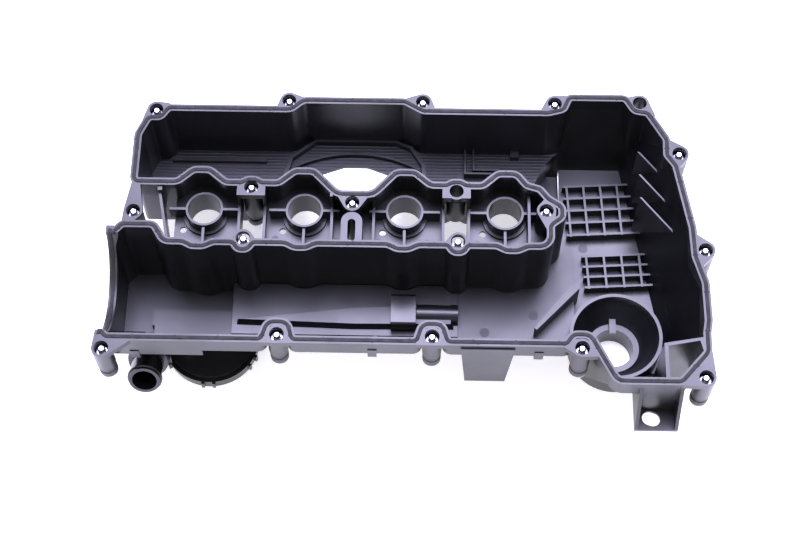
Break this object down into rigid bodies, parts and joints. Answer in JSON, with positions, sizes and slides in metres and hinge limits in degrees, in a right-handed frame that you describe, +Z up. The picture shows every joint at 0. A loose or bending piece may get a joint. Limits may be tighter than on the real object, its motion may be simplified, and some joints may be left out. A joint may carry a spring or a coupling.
{
  "type": "cylinder head cover",
  "caption": "Moulded black engine top cover lying rim up, with round plug collars in a sunken well, ribbed chambers, captive sleeved bolts, a rim gasket and a breather valve.",
  "frame": {"origin": "centre of the footprint, on the surface the cover lies on with its sealing rim up", "axes": "+X along the row of plug collars towards the timing-chain end, +Y towards the long wall with the motor opening, +Z up out of the sealing rim"},
  "size_m": [0.5432, 0.3079, 0.1208],
  "materials": {
    "moulded_nylon": "satin glass-filled nylon",
    "clip_plastic": "smooth semi-gloss nylon",
    "gasket_rubber": "matt moulded rubber",
    "grommet_rubber": "matt moulded rubber",
    "bolt_steel": "zinc-plated steel",
    "sleeve_steel": "drawn steel"
  },
  "bodies": {
    "cover": {"cover_shell": "moulded_nylon", "rim_gasket": "gasket_rubber", "separator_plate": "moulded_nylon", "separator_clip": "clip_plastic", "separator_baffles": "moulded_nylon", "flange_bolts": "bolt_steel", "flange_bolt_sleeves": "sleeve_steel", "flange_bolt_grommets": "grommet_rubber", "flange_bolt_washers": "sleeve_steel", "well_bolts": "bolt_steel", "stud_bolt": "bolt_steel", "well_bolt_sleeves": "sleeve_steel", "well_bolt_grommets": "grommet_rubber", "well_bolt_washers": "sleeve_steel", "breather_lid": "clip_plastic", "diaphragm": "grommet_rubber", "valve_spring": "bolt_steel", "breather_spigot": "clip_plastic", "post_buffers": "grommet_rubber"},
    "valve": {"valve_plate": "clip_plastic", "plate_washer": "sleeve_steel"}
  },
  "joints": [
    {"name": "valve_lift", "type": "slide", "parent": "cover", "child": "valve", "axis": [0, 0, 1], "range_m": [0, 0.003], "stiffness_N_per_m": 150, "deforming": ["valve_spring", "diaphragm"]}
  ]
}
